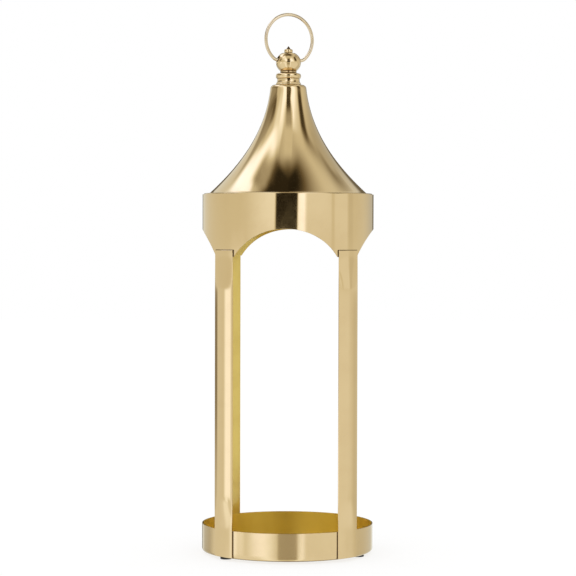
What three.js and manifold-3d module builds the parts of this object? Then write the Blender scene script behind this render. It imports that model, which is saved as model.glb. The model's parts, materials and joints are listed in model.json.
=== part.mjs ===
// An open metal lantern: a shallow pan on three pads, four straight legs, a rolled band
// with four arches, a spun roof, and a turned finial that holds a swinging ring.
// Millimetres, +Z up. The origin is on the ground under the middle, and the front faces -Y.
// Every piece keeps its own body, with a small clearance to the pieces it is fixed to.

import * as THREE from 'three';
import { mergeVertices } from 'three/addons/utils/BufferGeometryUtils.js';
import Module from 'manifold-3d';

const wasm = await Module();
wasm.setup();

// Clearance between two pieces that are pressed, glued or welded together
const seat = 0.3;

// Pan and band share one outside radius, so the legs stand straight against both
const bodyRadius = 88;

// Pads, stuck under the pan. The turn is that of the first pad, from straight behind.
const padRadius = 6;
const padHeight = 2.6;
const padInset = 10;
const padEdge = 0.5;
const padCount = 3;
const padTurn = 9.5;

// Pressed pan
const panHeight = 28.3;
const panGauge = 1;
const panInsideBend = 2;

// Legs, curved across to the radius of the body. The lap is how far the tabs of the band
// reach down behind them.
const legWidth = 26;
const legGauge = 1.2;
const legLength = 308.9;
const legLift = 1;
const legLap = 6.7;
const legAzimuths = {
  leg_front_left: -45,
  leg_front_right: 45,
  leg_rear_right: 135,
  leg_rear_left: -135,
};

// Crown band. Its depth is measured over the top of an arch, and there is a tab to each leg.
const bandGauge = 1;
const bandDepth = 35.5;
const archRise = 28;
const tabWidth = 27;

// Spun roof. Angles are measured from the vertical, and the two reaches say how far the
// flare keeps to its directions at the throat and at the foot.
const roofGauge = 1;
const roofRise = 111.7;
const brimStand = 1;
const brimFootRadius = 80.7;
const brimFillet = 1.5;
const brimInsideBend = 0.5;
const lipDepth = 8;
const footAngle = 47.5;
const footReach = 43.4;
const throatRadius = 18.5;
const throatAngle = 6.5;
const throatReach = 44.8;
const shoulderInsideBend = 3;

// Threaded stud that pulls the finial down on the roof, with its washer and nut
const studRadius = 2;
const studRoom = 0.3;
const studBelowNut = 2;
const studIntoTip = 2.6;
const washerRadius = 6;
const washerGauge = 1;
const nutAcrossFlats = 7;
const nutHeight = 3.2;

// Turned neck collar on the roof: a foot, a cove, a bead and a sloping top
const neckHeight = 12;
const neckFootRadius = 12.75;
const neckFootHeight = 1.8;
const neckFootEdge = 0.4;
const neckCoveRadius = 11.5;
const neckBeadRadius = 12.9;
const neckBeadHeight = 5.2;
const neckSlopeHeight = 0.7;
const neckTopRadius = 8.6;

// Thin turned ring with a rounded edge, between the neck and the ball
const spacerRadius = 8.4;
const spacerNeckRadius = 7.5;
const spacerHeight = 1.6;

// Hollow ball, a little flattened, with a flat at each end and two cross holes
const ballRadius = 12.8;
const ballHalfHeight = 11.3;
const ballTopFlatRadius = 6.9;
const ballBottomFlatRadius = 8.4;
const ballGauge = 1.2;
const crossHoleRadius = 2.75;
const crossHoleRise = 3.3;

// Pointed cap nut on the ball
const tipNeckRadius = 3.6;
const tipBeadRadius = 4.4;
const tipBeadHeight = 3.7;
const tipPointRadius = 2;
const tipHeight = 7.1;

// Ring to carry the lantern by: one wire, open at the bottom, with its ends in the ball.
// The tuck is how far each end reaches in through the wall of the ball. The wire has end
// play in the holes, and the slip is how far it lies to its right.
const ringRadius = 25.85;
const ringWireRadius = 1.65;
const ringMouth = 30.4;
const ringBend = 4;
const ringTuck = 4;
const ringSlip = 0.8;

// The finial is screwed on a little out of line with the arches
const finialTurn = 25;

// Numbers of facets
const roundSteps = 60;
const smallSteps = 28;
const boreSteps = 20;
const bendSteps = 4;
const beadSteps = 6;
const flareSteps = 10;
const ballSteps = 12;
const wireSides = 10;
const wireSteps = 60;
const archSteps = 22;
const tabSteps = 6;

// Heights that follow from the sizes above
const panBottom = padHeight;
const panRim = panBottom + panHeight;
const legBottom = panBottom + legLift;
const legTop = legBottom + legLength;
const tabBottom = legTop - legLap;
const archTop = tabBottom + archRise;
const bandTop = archTop + bandDepth;
const brimTop = bandTop + brimStand;
const roofTop = brimTop + roofRise;
const neckBottom = roofTop + seat;
const neckTop = neckBottom + neckHeight;
const spacerBottom = neckTop + seat;
const spacerTop = spacerBottom + spacerHeight;
const ballBottom = spacerTop + seat;
const flatDrop = (flatRadius) => ballHalfHeight * Math.sqrt(1 - (flatRadius / ballRadius) ** 2);
const ballMiddle = ballBottom + flatDrop(ballBottomFlatRadius);
const ballTop = ballMiddle + flatDrop(ballTopFlatRadius);
const tipBottom = ballTop + seat;
const tipTop = tipBottom + tipHeight;

// The wire rests on the lower edge of the cross holes, and swings about its own ends there
const wireDrop = crossHoleRadius - ringWireRadius - seat;
const ringAxisHeight = ballMiddle + crossHoleRise - wireDrop;

const studHoleRadius = studRadius + studRoom;

const radians = THREE.MathUtils.degToRad;
const degrees = THREE.MathUtils.radToDeg;
const at = (r, z) => new THREE.Vector2(r, z);

// Points of a round or oval arc in the plane of a profile, angles in degrees from +r
function arc(middle, across, up, from, to, steps) {
  const points = [];
  for (let i = 0; i <= steps; i += 1) {
    const angle = radians(from + (to - from) * i / steps);
    points.push(at(middle.x + across * Math.cos(angle), middle.y + up * Math.sin(angle)));
  }
  return points;
}

// The same line moved sideways to the left of its travel, with mitred corners
function moved(line, distance) {
  return line.map((point, i) => {
    const previous = line[i - 1] ?? point.clone().multiplyScalar(2).sub(line[i + 1]);
    const next = line[i + 1] ?? point.clone().multiplyScalar(2).sub(line[i - 1]);
    const arriving = point.clone().sub(previous).normalize();
    const leaving = next.clone().sub(point).normalize();
    const along = arriving.clone().add(leaving).normalize();
    return point.clone().addScaledVector(at(-along.y, along.x), distance / along.dot(arriving));
  });
}

// Closed outline of a sheet: one face as drawn, the other one gauge to the left of it.
// A negative gauge puts the other face on the right.
function sheetOutline(line, gauge) {
  return [...line, ...moved(line, gauge).reverse()];
}

// A profile of (radius, height) points turned about the vertical axis
function turned(outline, steps = roundSteps) {
  const points = THREE.ShapeUtils.area(outline) < 0 ? [...outline].reverse() : [...outline];
  if (points[0].x > 0 || points[points.length - 1].x > 0) {
    points.push(points[0].clone());
  }
  return new THREE.LatheGeometry(points, steps).rotateX(Math.PI / 2);
}

// A strip rolled to a radius. Each column has its azimuth from the front and its two ends.
function rolledStrip(columns, insideRadius, gauge, closed) {
  const outsideRadius = insideRadius + gauge;
  const corners = columns.flatMap(({ azimuth, bottom, top }) => {
    const sine = Math.sin(radians(azimuth));
    const cosine = Math.cos(radians(azimuth));
    return [
      insideRadius * sine, -insideRadius * cosine, bottom,
      outsideRadius * sine, -outsideRadius * cosine, bottom,
      outsideRadius * sine, -outsideRadius * cosine, top,
      insideRadius * sine, -insideRadius * cosine, top,
    ];
  });
  const faces = [];
  const spans = closed ? columns.length : columns.length - 1;
  for (let i = 0; i < spans; i += 1) {
    const here = 4 * i;
    const there = 4 * ((i + 1) % columns.length);
    for (let corner = 0; corner < 4; corner += 1) {
      const other = (corner + 1) % 4;
      faces.push(here + corner, there + corner, there + other);
      faces.push(here + corner, there + other, here + other);
    }
  }
  if (!closed) {
    const end = 4 * (columns.length - 1);
    faces.push(0, 1, 2, 0, 2, 3);
    faces.push(end, end + 2, end + 1, end, end + 3, end + 2);
  }
  const geometry = new THREE.BufferGeometry();
  geometry.setAttribute('position', new THREE.Float32BufferAttribute(corners, 3));
  geometry.setIndex(faces);
  geometry.computeVertexNormals();
  return geometry;
}

function toSolid(geometry) {
  const bare = geometry.clone();
  bare.deleteAttribute('normal');
  bare.deleteAttribute('uv');
  const merged = mergeVertices(bare);
  const vertProperties = Float32Array.from(merged.attributes.position.array);
  const triVerts = Uint32Array.from(merged.index.array);
  return new wasm.Manifold(new wasm.Mesh({ numProp: 3, vertProperties, triVerts }));
}

function fromSolid(solid) {
  const mesh = solid.getMesh();
  const geometry = new THREE.BufferGeometry();
  geometry.setAttribute('position', new THREE.BufferAttribute(mesh.vertProperties, 3));
  geometry.setIndex(new THREE.BufferAttribute(mesh.triVerts, 1));
  geometry.computeVertexNormals();
  return geometry;
}

const finishes = {
  polished: { color: 0xd8bc86, roughness: 0.16, metalness: 1 },
  satin: { color: 0xd2b377, roughness: 0.3, metalness: 1 },
  steel: { color: 0xb4b5b3, roughness: 0.35, metalness: 1 },
  rubber: { color: 0x4a4946, roughness: 0.85, metalness: 0 },
};

function piece(name, geometry, finish) {
  const mesh = new THREE.Mesh(geometry, new THREE.MeshStandardMaterial(finishes[finish]));
  mesh.name = name;
  return mesh;
}

// Pads: evenly spaced discs near the edge of the pan, not in line with the legs
function makePads() {
  const top = padHeight - seat;
  const outline = [
    at(0, 0),
    at(padRadius - padEdge, 0),
    at(padRadius, padEdge),
    at(padRadius, top - padEdge),
    at(padRadius - padEdge, top),
    at(0, top),
  ];
  const reach = bodyRadius - padInset;
  const pads = [];
  for (let i = 0; i < padCount; i += 1) {
    const azimuth = radians(180 + padTurn + 360 * i / padCount);
    const pad = piece(`pad_${i + 1}`, turned(outline, smallSteps), 'rubber');
    pad.position.set(reach * Math.sin(azimuth), -reach * Math.cos(azimuth), 0);
    pads.push(pad);
  }
  return pads;
}

// Pan: one pressing with a flat floor, a small bend and an upright wall
function makePan() {
  const bend = panInsideBend + panGauge;
  const line = [
    at(0, panBottom),
    ...arc(at(bodyRadius - bend, panBottom + bend), bend, bend, -90, 0, bendSteps),
    at(bodyRadius, panRim),
  ];
  return piece('base_pan', turned(sheetOutline(line, panGauge)), 'satin');
}

// Legs: each one is a strip rolled lightly across its width and spot-welded outside the
// wall of the pan and outside the tab of the band
function makeLegs() {
  const halfAngle = degrees(legWidth / 2 / bodyRadius);
  return Object.entries(legAzimuths).map(([name, middle]) => {
    const columns = [];
    for (let i = 0; i <= tabSteps; i += 1) {
      const azimuth = middle + halfAngle * (2 * i / tabSteps - 1);
      columns.push({ azimuth, bottom: legBottom, top: legTop });
    }
    return piece(name, rolledStrip(columns, bodyRadius + seat, legGauge, false), 'polished');
  });
}

// Band: a flat strip with round arches along its lower edge, rolled up and joined. Each arch
// springs from the tabs, so its radius follows from its rise and from the width of a tab.
function makeBand() {
  const legCount = Object.keys(legAzimuths).length;
  const pitch = 2 * Math.PI * bodyRadius / legCount;
  const halfSpan = (pitch - tabWidth) / 2;
  const archRadius = (halfSpan ** 2 + archRise ** 2) / (2 * archRise);
  const lowerEdge = (along) => archTop - archRadius + Math.sqrt(archRadius ** 2 - along ** 2);
  const columns = [];
  const addColumn = (side, along, bottom) => {
    columns.push({ azimuth: degrees((side * pitch + along) / bodyRadius), bottom, top: bandTop });
  };
  for (let side = 0; side < legCount; side += 1) {
    for (let i = 0; i <= archSteps; i += 1) {
      const along = halfSpan * (2 * i / archSteps - 1);
      addColumn(side, along, lowerEdge(along));
    }
    for (let i = 1; i < tabSteps; i += 1) {
      addColumn(side, halfSpan + tabWidth * i / tabSteps, tabBottom);
    }
  }
  return piece('crown_band', rolledStrip(columns, bodyRadius - bandGauge, bandGauge, true), 'polished');
}

// Roof: spun from one disc. From the stud hole the top runs over a rounded shoulder, down
// a hollow flare and out to a flat brim, whose edge turns down into a lip inside the band.
function makeRoof() {
  const shoulder = shoulderInsideBend + roofGauge;
  const shoulderMiddle = at(throatRadius - shoulder, roofTop - shoulder);
  const shoulderArc = arc(shoulderMiddle, shoulder, shoulder, 90, throatAngle, bendSteps);
  const throat = shoulderArc[shoulderArc.length - 1];

  const foot = at(brimFootRadius, brimTop + brimFillet * (1 - Math.sin(radians(footAngle))));
  const filletMiddle = at(foot.x + brimFillet * Math.cos(radians(footAngle)), brimTop + brimFillet);
  const filletArc = arc(filletMiddle, brimFillet, brimFillet, 180 + footAngle, 270, bendSteps / 2);

  const throatWay = at(Math.sin(radians(throatAngle)), -Math.cos(radians(throatAngle)));
  const footWay = at(Math.sin(radians(footAngle)), -Math.cos(radians(footAngle)));
  const flare = new THREE.CubicBezierCurve(
    throat,
    throat.clone().addScaledVector(throatWay, throatReach),
    foot.clone().addScaledVector(footWay, -footReach),
    foot,
  );

  const brimBend = brimInsideBend + roofGauge;
  const lipRadius = bodyRadius - bandGauge - seat;
  const brimMiddle = at(lipRadius - brimBend, brimTop - brimBend);
  const line = [
    at(studHoleRadius, roofTop),
    ...shoulderArc,
    ...flare.getSpacedPoints(flareSteps).slice(1, -1),
    ...filletArc,
    ...arc(brimMiddle, brimBend, brimBend, 90, 0, bendSteps),
    at(lipRadius, brimTop - brimBend - lipDepth),
  ];
  return piece('roof', turned(sheetOutline(line, -roofGauge)), 'polished');
}

// Washer and nut under the top of the roof, and the stud that they pull on
function makeStudAndNut() {
  const washerTop = roofTop - roofGauge - seat;
  const washerBottom = washerTop - washerGauge;
  const nutBottom = washerBottom - seat - nutHeight;
  const studBottom = nutBottom - studBelowNut;
  const studLength = tipBottom + studIntoTip - studBottom;

  const washer = turned([
    at(studHoleRadius, washerBottom),
    at(washerRadius, washerBottom),
    at(washerRadius, washerTop),
    at(studHoleRadius, washerTop),
  ], smallSteps);

  const hexagon = [];
  for (let i = 0; i < 6; i += 1) {
    const corner = nutAcrossFlats / 2 / Math.cos(Math.PI / 6);
    hexagon.push(at(corner * Math.cos(i * Math.PI / 3), corner * Math.sin(i * Math.PI / 3)));
  }
  const nutShape = new THREE.Shape(hexagon);
  nutShape.holes.push(new THREE.Path().absarc(0, 0, studHoleRadius, 0, 2 * Math.PI, true));
  const nut = new THREE.ExtrudeGeometry(nutShape, {
    depth: nutHeight,
    bevelEnabled: false,
    curveSegments: boreSteps / 2,
  });
  nut.translate(0, 0, nutBottom);

  const stud = new THREE.CylinderGeometry(studRadius, studRadius, studLength, boreSteps);
  stud.rotateX(Math.PI / 2).translate(0, 0, studBottom + studLength / 2);

  return [
    piece('roof_washer', washer, 'steel'),
    piece('roof_nut', nut, 'steel'),
    piece('finial_stud', stud, 'steel'),
  ];
}

// Neck collar: the bead bulges out from the radius of the cove, which sweeps out to the foot
function makeNeck() {
  const footTop = neckBottom + neckFootHeight;
  const beadTop = neckTop - neckSlopeHeight;
  const beadBottom = beadTop - neckBeadHeight;
  const cove = new THREE.QuadraticBezierCurve(
    at(neckFootRadius, footTop),
    at(neckCoveRadius, footTop),
    at(neckCoveRadius, beadBottom),
  );
  const beadMiddle = at(neckCoveRadius, (beadBottom + beadTop) / 2);
  const beadOut = neckBeadRadius - neckCoveRadius;
  const outline = [
    at(studHoleRadius, neckBottom),
    at(neckFootRadius - neckFootEdge, neckBottom),
    at(neckFootRadius, neckBottom + neckFootEdge),
    ...cove.getPoints(bendSteps),
    ...arc(beadMiddle, beadOut, neckBeadHeight / 2, -90, 90, beadSteps).slice(1),
    at(neckTopRadius, neckTop),
    at(studHoleRadius, neckTop),
  ];
  return piece('neck_collar', turned(outline, smallSteps), 'polished');
}

function makeSpacer() {
  const middle = at(spacerNeckRadius, (spacerBottom + spacerTop) / 2);
  const outline = [
    at(studHoleRadius, spacerBottom),
    ...arc(middle, spacerRadius - spacerNeckRadius, spacerHeight / 2, -90, 90, beadSteps),
    at(studHoleRadius, spacerTop),
  ];
  return piece('ball_spacer', turned(outline, smallSteps), 'polished');
}

// Ball: a hollow shell. The stud passes through its two flats, and the ring's ends sit in
// the two cross holes, which lie on one line along X before the finial is turned.
function makeBall() {
  const low = -degrees(Math.acos(ballBottomFlatRadius / ballRadius));
  const high = degrees(Math.acos(ballTopFlatRadius / ballRadius));
  const line = [
    at(studHoleRadius, ballBottom),
    ...arc(at(0, ballMiddle), ballRadius, ballHalfHeight, low, high, ballSteps),
    at(studHoleRadius, ballTop),
  ];
  const shell = toSolid(turned(sheetOutline(line, ballGauge), smallSteps));
  const drill = new THREE.CylinderGeometry(crossHoleRadius, crossHoleRadius, 3 * ballRadius, boreSteps);
  drill.rotateZ(Math.PI / 2).translate(0, 0, ballMiddle + crossHoleRise);
  return piece('ball', fromSolid(shell.subtract(toSolid(drill))), 'polished');
}

// Cap nut: a bead on a narrower neck, then a cone, bored from below for the stud
function makeTip() {
  const beadMiddle = at(tipNeckRadius, tipBottom + tipBeadHeight / 2);
  const boreTop = tipBottom + studIntoTip + seat;
  const outline = [
    at(0, boreTop),
    at(studHoleRadius, boreTop),
    at(studHoleRadius, tipBottom),
    ...arc(beadMiddle, tipBeadRadius - tipNeckRadius, tipBeadHeight / 2, -90, 90, beadSteps),
    at(tipPointRadius, tipBottom + tipBeadHeight),
    at(0, tipTop),
  ];
  return piece('tip_nut', turned(outline, smallSteps), 'polished');
}

// Centre line of the ring's wire, from one end to the other, in the XZ plane. It runs along
// the swing axis inside the ball, turns through a tight bend and goes round the ring.
class RingLine extends THREE.Curve {
  constructor() {
    super();
    this.rise = Math.sqrt(ringRadius ** 2 - (ringMouth / 2) ** 2);
    this.bendMiddle = Math.sqrt((ringRadius - ringBend) ** 2 - (this.rise - ringBend) ** 2);
    this.bendTurn = Math.acos((this.rise - ringBend) / (ringRadius - ringBend));
    const holeEdge = ballRadius * Math.sqrt(1 - (crossHoleRise / ballHalfHeight) ** 2);
    this.stub = this.bendMiddle - (holeEdge - ringTuck);
    this.bendEnd = this.stub + ringBend * this.bendTurn;
    this.half = this.bendEnd + ringRadius * (Math.PI - this.bendTurn);
  }

  getPoint(t, target = new THREE.Vector3()) {
    const side = t < 0.5 ? -1 : 1;
    const along = this.half * (1 - Math.abs(2 * t - 1));
    if (along <= this.stub) {
      return target.set(side * (this.bendMiddle - this.stub + along), 0, 0);
    }
    if (along <= this.bendEnd) {
      const turn = (along - this.stub) / ringBend;
      const across = this.bendMiddle + ringBend * Math.sin(turn);
      return target.set(side * across, 0, ringBend * (1 - Math.cos(turn)));
    }
    const turn = this.bendTurn + (along - this.bendEnd) / ringRadius;
    return target.set(side * ringRadius * Math.sin(turn), 0, this.rise - ringRadius * Math.cos(turn));
  }
}

function makeRing() {
  const section = [];
  for (let i = 0; i < wireSides; i += 1) {
    const angle = 2 * Math.PI * i / wireSides;
    section.push(at(ringWireRadius * Math.cos(angle), ringWireRadius * Math.sin(angle)));
  }
  const wire = new THREE.ExtrudeGeometry(new THREE.Shape(section), {
    steps: wireSteps,
    extrudePath: new RingLine(),
  });
  const ring = piece('carry_ring', wire, 'polished');
  ring.position.set(ringSlip, 0, ringAxisHeight);
  return ring;
}

const finial = new THREE.Group();
finial.rotation.z = radians(finialTurn);
finial.add(makeBall(), makeRing());

const lantern = new THREE.Group();
lantern.add(
  ...makePads(),
  makePan(),
  ...makeLegs(),
  makeBand(),
  makeRoof(),
  ...makeStudAndNut(),
  makeNeck(),
  makeSpacer(),
  makeTip(),
  finial,
);

export default lantern;
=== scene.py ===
# %% [markdown]
# # An open metal lantern
#
# A pressed pan stands on three rubber pads. Four strips stand against its wall and carry a
# rolled band with an arch between each two strips. A spun roof sits on the band, and a turned
# finial on the roof holds a swinging ring. Nearly all of it is brass-coloured metal under a
# clear lacquer, so most of what the eye sees is a reflection of the studio. This lesson makes
# the metal first, then its finishes, and then the studio that the metal mirrors.
#
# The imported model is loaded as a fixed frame. It says where each piece is and what moves.

# %% Load the frame
import json
import math

import bmesh
import bpy
from mathutils import Matrix, Vector
from mathutils.geometry import interpolate_bezier


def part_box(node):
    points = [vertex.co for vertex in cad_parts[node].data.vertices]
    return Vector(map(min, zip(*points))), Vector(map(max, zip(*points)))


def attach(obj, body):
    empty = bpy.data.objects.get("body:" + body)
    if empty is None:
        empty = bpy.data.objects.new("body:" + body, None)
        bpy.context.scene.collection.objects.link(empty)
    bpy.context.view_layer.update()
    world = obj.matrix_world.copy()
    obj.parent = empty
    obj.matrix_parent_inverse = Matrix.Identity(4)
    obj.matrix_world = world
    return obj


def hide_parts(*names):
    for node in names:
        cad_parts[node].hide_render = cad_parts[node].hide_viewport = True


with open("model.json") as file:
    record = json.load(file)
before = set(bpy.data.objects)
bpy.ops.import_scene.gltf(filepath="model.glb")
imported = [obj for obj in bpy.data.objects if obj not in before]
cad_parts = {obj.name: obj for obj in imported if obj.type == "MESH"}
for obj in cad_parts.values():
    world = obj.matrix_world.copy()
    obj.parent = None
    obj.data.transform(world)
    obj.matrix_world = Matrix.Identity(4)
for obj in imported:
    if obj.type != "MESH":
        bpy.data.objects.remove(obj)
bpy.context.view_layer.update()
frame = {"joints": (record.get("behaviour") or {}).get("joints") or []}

# %% [markdown]
# ## Sizes
#
# Everything is in metres. What the frame knows is read from it, so that a piece can't end up
# beside its place. Only the small things that a box doesn't say are named here: the gauges of
# the sheet, the bends and the little roundings that catch the light.

# %% Sizes from the frame, and the small sizes
MM = 0.001

pan_low, pan_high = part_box("base_pan")
band_low, band_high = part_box("crown_band")
leg_low, leg_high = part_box("leg_front_right")
roof_low, roof_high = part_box("roof")
neck_low, neck_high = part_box("neck_collar")
spacer_low, spacer_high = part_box("ball_spacer")
tip_low, tip_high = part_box("tip_nut")

body_radius = pan_high.x
seat = 0.3 * MM
sheet_gauge = 1.0 * MM
leg_gauge = 1.2 * MM
leg_width = 26 * MM
tab_width = 27 * MM
arch_rise = 28 * MM
leg_azimuths = {"front_left": -45, "front_right": 45, "rear_right": 135, "rear_left": -135}
finial_turn = Matrix.Rotation(math.radians(25), 3, "Z")
ball_radius, ball_half_height, cross_hole_rise = 12.8 * MM, 11.3 * MM, 3.3 * MM
stud_hole_radius = 2.3 * MM

ROUND_STEPS, SMALL_STEPS, BALL_STEPS, ARC_STEPS = 240, 96, 128, 8
print("the body is %.1f mm across and the roof ends %.1f mm up" % (2e3 * body_radius, 1e3 * roof_high.z))

# %% [markdown]
# ## Turned and spun pieces
#
# A spinner presses a disc over a form while it turns, and a turner cuts a rod while it turns.
# Both leave a shape that is one outline swept round an axis. Blender has a screw modifier for
# that, and a lathe of own vertices would do too. The bmesh operator `spin` is used here,
# because the outline then stays a short list of points and the result is real faces that the
# next operators can round and thicken.

# %% Outline helpers
def arc(middle, across, up, start, end, steps=ARC_STEPS):
    """Points of a round or oval arc, as (radius, height), angles in degrees from outwards."""
    points = []
    for step in range(steps + 1):
        angle = math.radians(start + (end - start) * step / steps)
        points.append((middle[0] + across * math.cos(angle), middle[1] + up * math.sin(angle)))
    return points


def run_on(outline, end, steps):
    """Carries an outline on along a straight stretch."""
    (r0, z0), (r1, z1) = outline[-1], end
    for step in range(1, steps + 1):
        outline.append((r0 + (r1 - r0) * step / steps, z0 + (z1 - z0) * step / steps))


print("an arc of a quarter turn:", len(arc((0, 0), 1, 1, 0, 90)), "points")


# %% Draw and spin
CENTRE, UP = (0, 0, 0), (0, 0, 1)
SIDEWAYS = Matrix.Rotation(math.pi / 2, 4, "Y")
Vertex, Edge = bmesh.types.BMVert, bmesh.types.BMEdge
weld = 0.001 * MM


def chained(mesh, points, closed=False):
    """Vertices at the points, and edges that join them in their order."""
    corners = [mesh.verts.new(point) for point in points]
    pairs = list(zip(corners, corners[1:]))
    if closed:
        pairs.append((corners[-1], corners[0]))
    return corners + [mesh.edges.new(pair) for pair in pairs]


def only(kind, items):
    """Those of the items that are of one kind."""
    return [item for item in items if isinstance(item, kind)]


def swept(mesh, geom, angle, steps, centre=CENTRE, axis=UP, lift=0.0):
    """Spins a chain round an axis, and gives back the edges at its end."""
    last = bmesh.ops.spin(
        mesh, geom=geom, cent=centre, axis=axis, dvec=(0, 0, lift), angle=angle, steps=steps,
        use_merge=angle == math.tau, use_duplicate=False,
    )["geom_last"]
    return only(Edge, last)


def welded(mesh, reach=weld):
    """Makes one vertex of those that lie together."""
    bmesh.ops.remove_doubles(mesh, verts=mesh.verts, dist=reach)


def spun(outline, steps=ROUND_STEPS, closed=False):
    """A bmesh of an outline of (radius, height) points swept round the vertical axis."""
    mesh = bmesh.new()
    chain = chained(mesh, [(radius, 0, height) for radius, height in outline], closed)
    swept(mesh, chain, math.tau, steps)
    welded(mesh)
    bmesh.ops.recalc_face_normals(mesh, faces=mesh.faces)
    return mesh


print("a full turn takes", ROUND_STEPS, "steps, or", SMALL_STEPS, "on the finial")


# %% Point outwards, thicken, round and finish
def point_outwards(mesh, probe):
    """Turns all faces round if the one nearest to the probe looks away from it."""
    probe = Vector(probe)
    nearest = min(mesh.faces, key=lambda face: (face.calc_center_median() - probe).length)
    if nearest.normal.dot(probe - nearest.calc_center_median()) < 0:
        bmesh.ops.reverse_faces(mesh, faces=mesh.faces)


def closed_off(mesh):
    """Caps every open end, and turns the faces so that they look out of the metal."""
    open_edges = [edge for edge in mesh.edges if len(edge.link_faces) == 1]
    bmesh.ops.holes_fill(mesh, edges=open_edges, sides=0)
    bmesh.ops.recalc_face_normals(mesh, faces=mesh.faces)
    if mesh.calc_volume(signed=True) < 0:
        bmesh.ops.reverse_faces(mesh, faces=mesh.faces)


def thickened(mesh, gauge):
    """Gives an open sheet its wall, on the side that its faces look away from."""
    bmesh.ops.solidify(mesh, geom=mesh.faces, thickness=gauge)


def rounded(mesh, size, over=50, segments=3):
    """Rounds every edge that turns by more than some degrees, as a deburring wheel does."""
    sharp = [
        edge for edge in mesh.edges
        if len(edge.link_faces) == 2 and edge.calc_face_angle() > math.radians(over)
    ]
    bmesh.ops.bevel(
        mesh, geom=sharp, offset=size, segments=segments, profile=0.5,
        affect="EDGES", material=-1, clamp_overlap=True,
    )


def finished(mesh, name, crease=14):
    """Turns a bmesh into an object at the origin, smooth except at real edges."""
    data = bpy.data.meshes.new(name)
    mesh.to_mesh(data)
    mesh.free()
    data.shade_smooth()
    data.set_sharp_from_angle(angle=math.radians(crease))
    piece = bpy.data.objects.new(name, data)
    bpy.context.scene.collection.objects.link(piece)
    return piece


def placed(piece, slot, *nodes, body="lantern"):
    """The piece rides on a body and stands for nodes of the frame. The slot is not used."""
    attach(piece, body)
    if nodes:
        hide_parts(*nodes)
    print(piece.name, "has", len(piece.data.polygons), "faces")
    return piece


# %% The map for turning marks, and sheet pieces
def line_up(piece):
    """Gives a round piece a UV map: u runs round the axis and v up it."""
    data = piece.data
    layer = data.uv_layers.new(name="round")
    heights = [vertex.co.z for vertex in data.vertices]
    low, high = min(heights), max(heights)
    for face in data.polygons:
        corners = [data.vertices[index].co for index in face.vertices]
        turns = [math.atan2(corner.y, corner.x) / math.tau for corner in corners]
        widest = max(turns)
        for loop, corner, turn in zip(face.loop_indices, corners, turns):
            if widest - turn > 0.5:
                turn += 1
            layer.data[loop].uv = (turn, (corner.z - low) / max(high - low, MM))


def faces_inside(piece, test):
    """Gives material 1 to each face that the test picks."""
    for face in piece.data.polygons:
        if test(face.center, face.normal):
            face.material_index = 1


def looks_inwards(centre, normal):
    """True for a face of an upright wall that looks towards the axis."""
    outwards = Vector((centre.x, centre.y, 0))
    return outwards.length >= MM and normal.dot(outwards.normalized()) < -0.6


def from_sheet(
    mesh, name, frame_node, deburr, inside, gauge=sheet_gauge, slot="polished_brass", round_map=True,
):
    """Gives an open sheet its gauge, deburrs it and picks out the faces inside."""
    thickened(mesh, gauge)
    rounded(mesh, deburr)
    piece = finished(mesh, name)
    faces_inside(piece, inside)
    if round_map:
        line_up(piece)
    return placed(piece, slot, frame_node)


print("sheet is %.1f mm thick, and %.1f mm for the legs" % (1e3 * sheet_gauge, 1e3 * leg_gauge))

# %% [markdown]
# ## The pan
#
# The pan is pressed from one disc: a flat floor, a small bend and an upright wall. The sheet
# is drawn as its outer face, spun, and then given its gauge inwards. The rim is a cut edge, so
# it is only deburred. The inside has a different lacquer from the outside, which is kept as a
# second material on the faces that look inwards or up.

# %% Make the pan
def make_pan():
    bend, low, rim = 3 * MM, pan_low.z, pan_high.z
    floor_edge, inner = body_radius - bend, body_radius - 0.7 * sheet_gauge
    outline = [(0, low)]
    run_on(outline, (floor_edge, low), 20)
    outline += arc((floor_edge, low + bend), bend, bend, -90, 0)[1:]
    run_on(outline, (body_radius, rim), 10)
    mesh = spun(outline)
    point_outwards(mesh, (0, 0, low - bend))

    def inside(centre, normal):
        return centre.xy.length <= inner and (normal.z > 0.3 or looks_inwards(centre, normal))

    return from_sheet(mesh, "pan", "base_pan", 0.22 * MM, inside, slot="satin_brass")


pan = make_pan()

# %% [markdown]
# ## The band
#
# The band starts as a flat strip. Its lower edge has four arches, and between them the four
# tabs that the legs are welded to. Then the strip is rolled up. The same is done here: one
# arch and its tab are drawn flat, extruded up to the top edge, copied for each side, and then
# rolled. Rolling is the one step for which bmesh has no operator, so each vertex is turned
# about the axis by its distance along the strip.

# %% Roll a strip
def rolled(mesh, radius):
    """Rolls a flat strip, with x along it and y standing off it, round the vertical axis."""
    for vertex in mesh.verts:
        angle = vertex.co.x / radius
        reach = radius - vertex.co.y
        vertex.co = Vector((reach * math.sin(angle), -reach * math.cos(angle), vertex.co.z))


print("the band's strip is %.1f mm long" % (1e3 * math.tau * body_radius))


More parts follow.
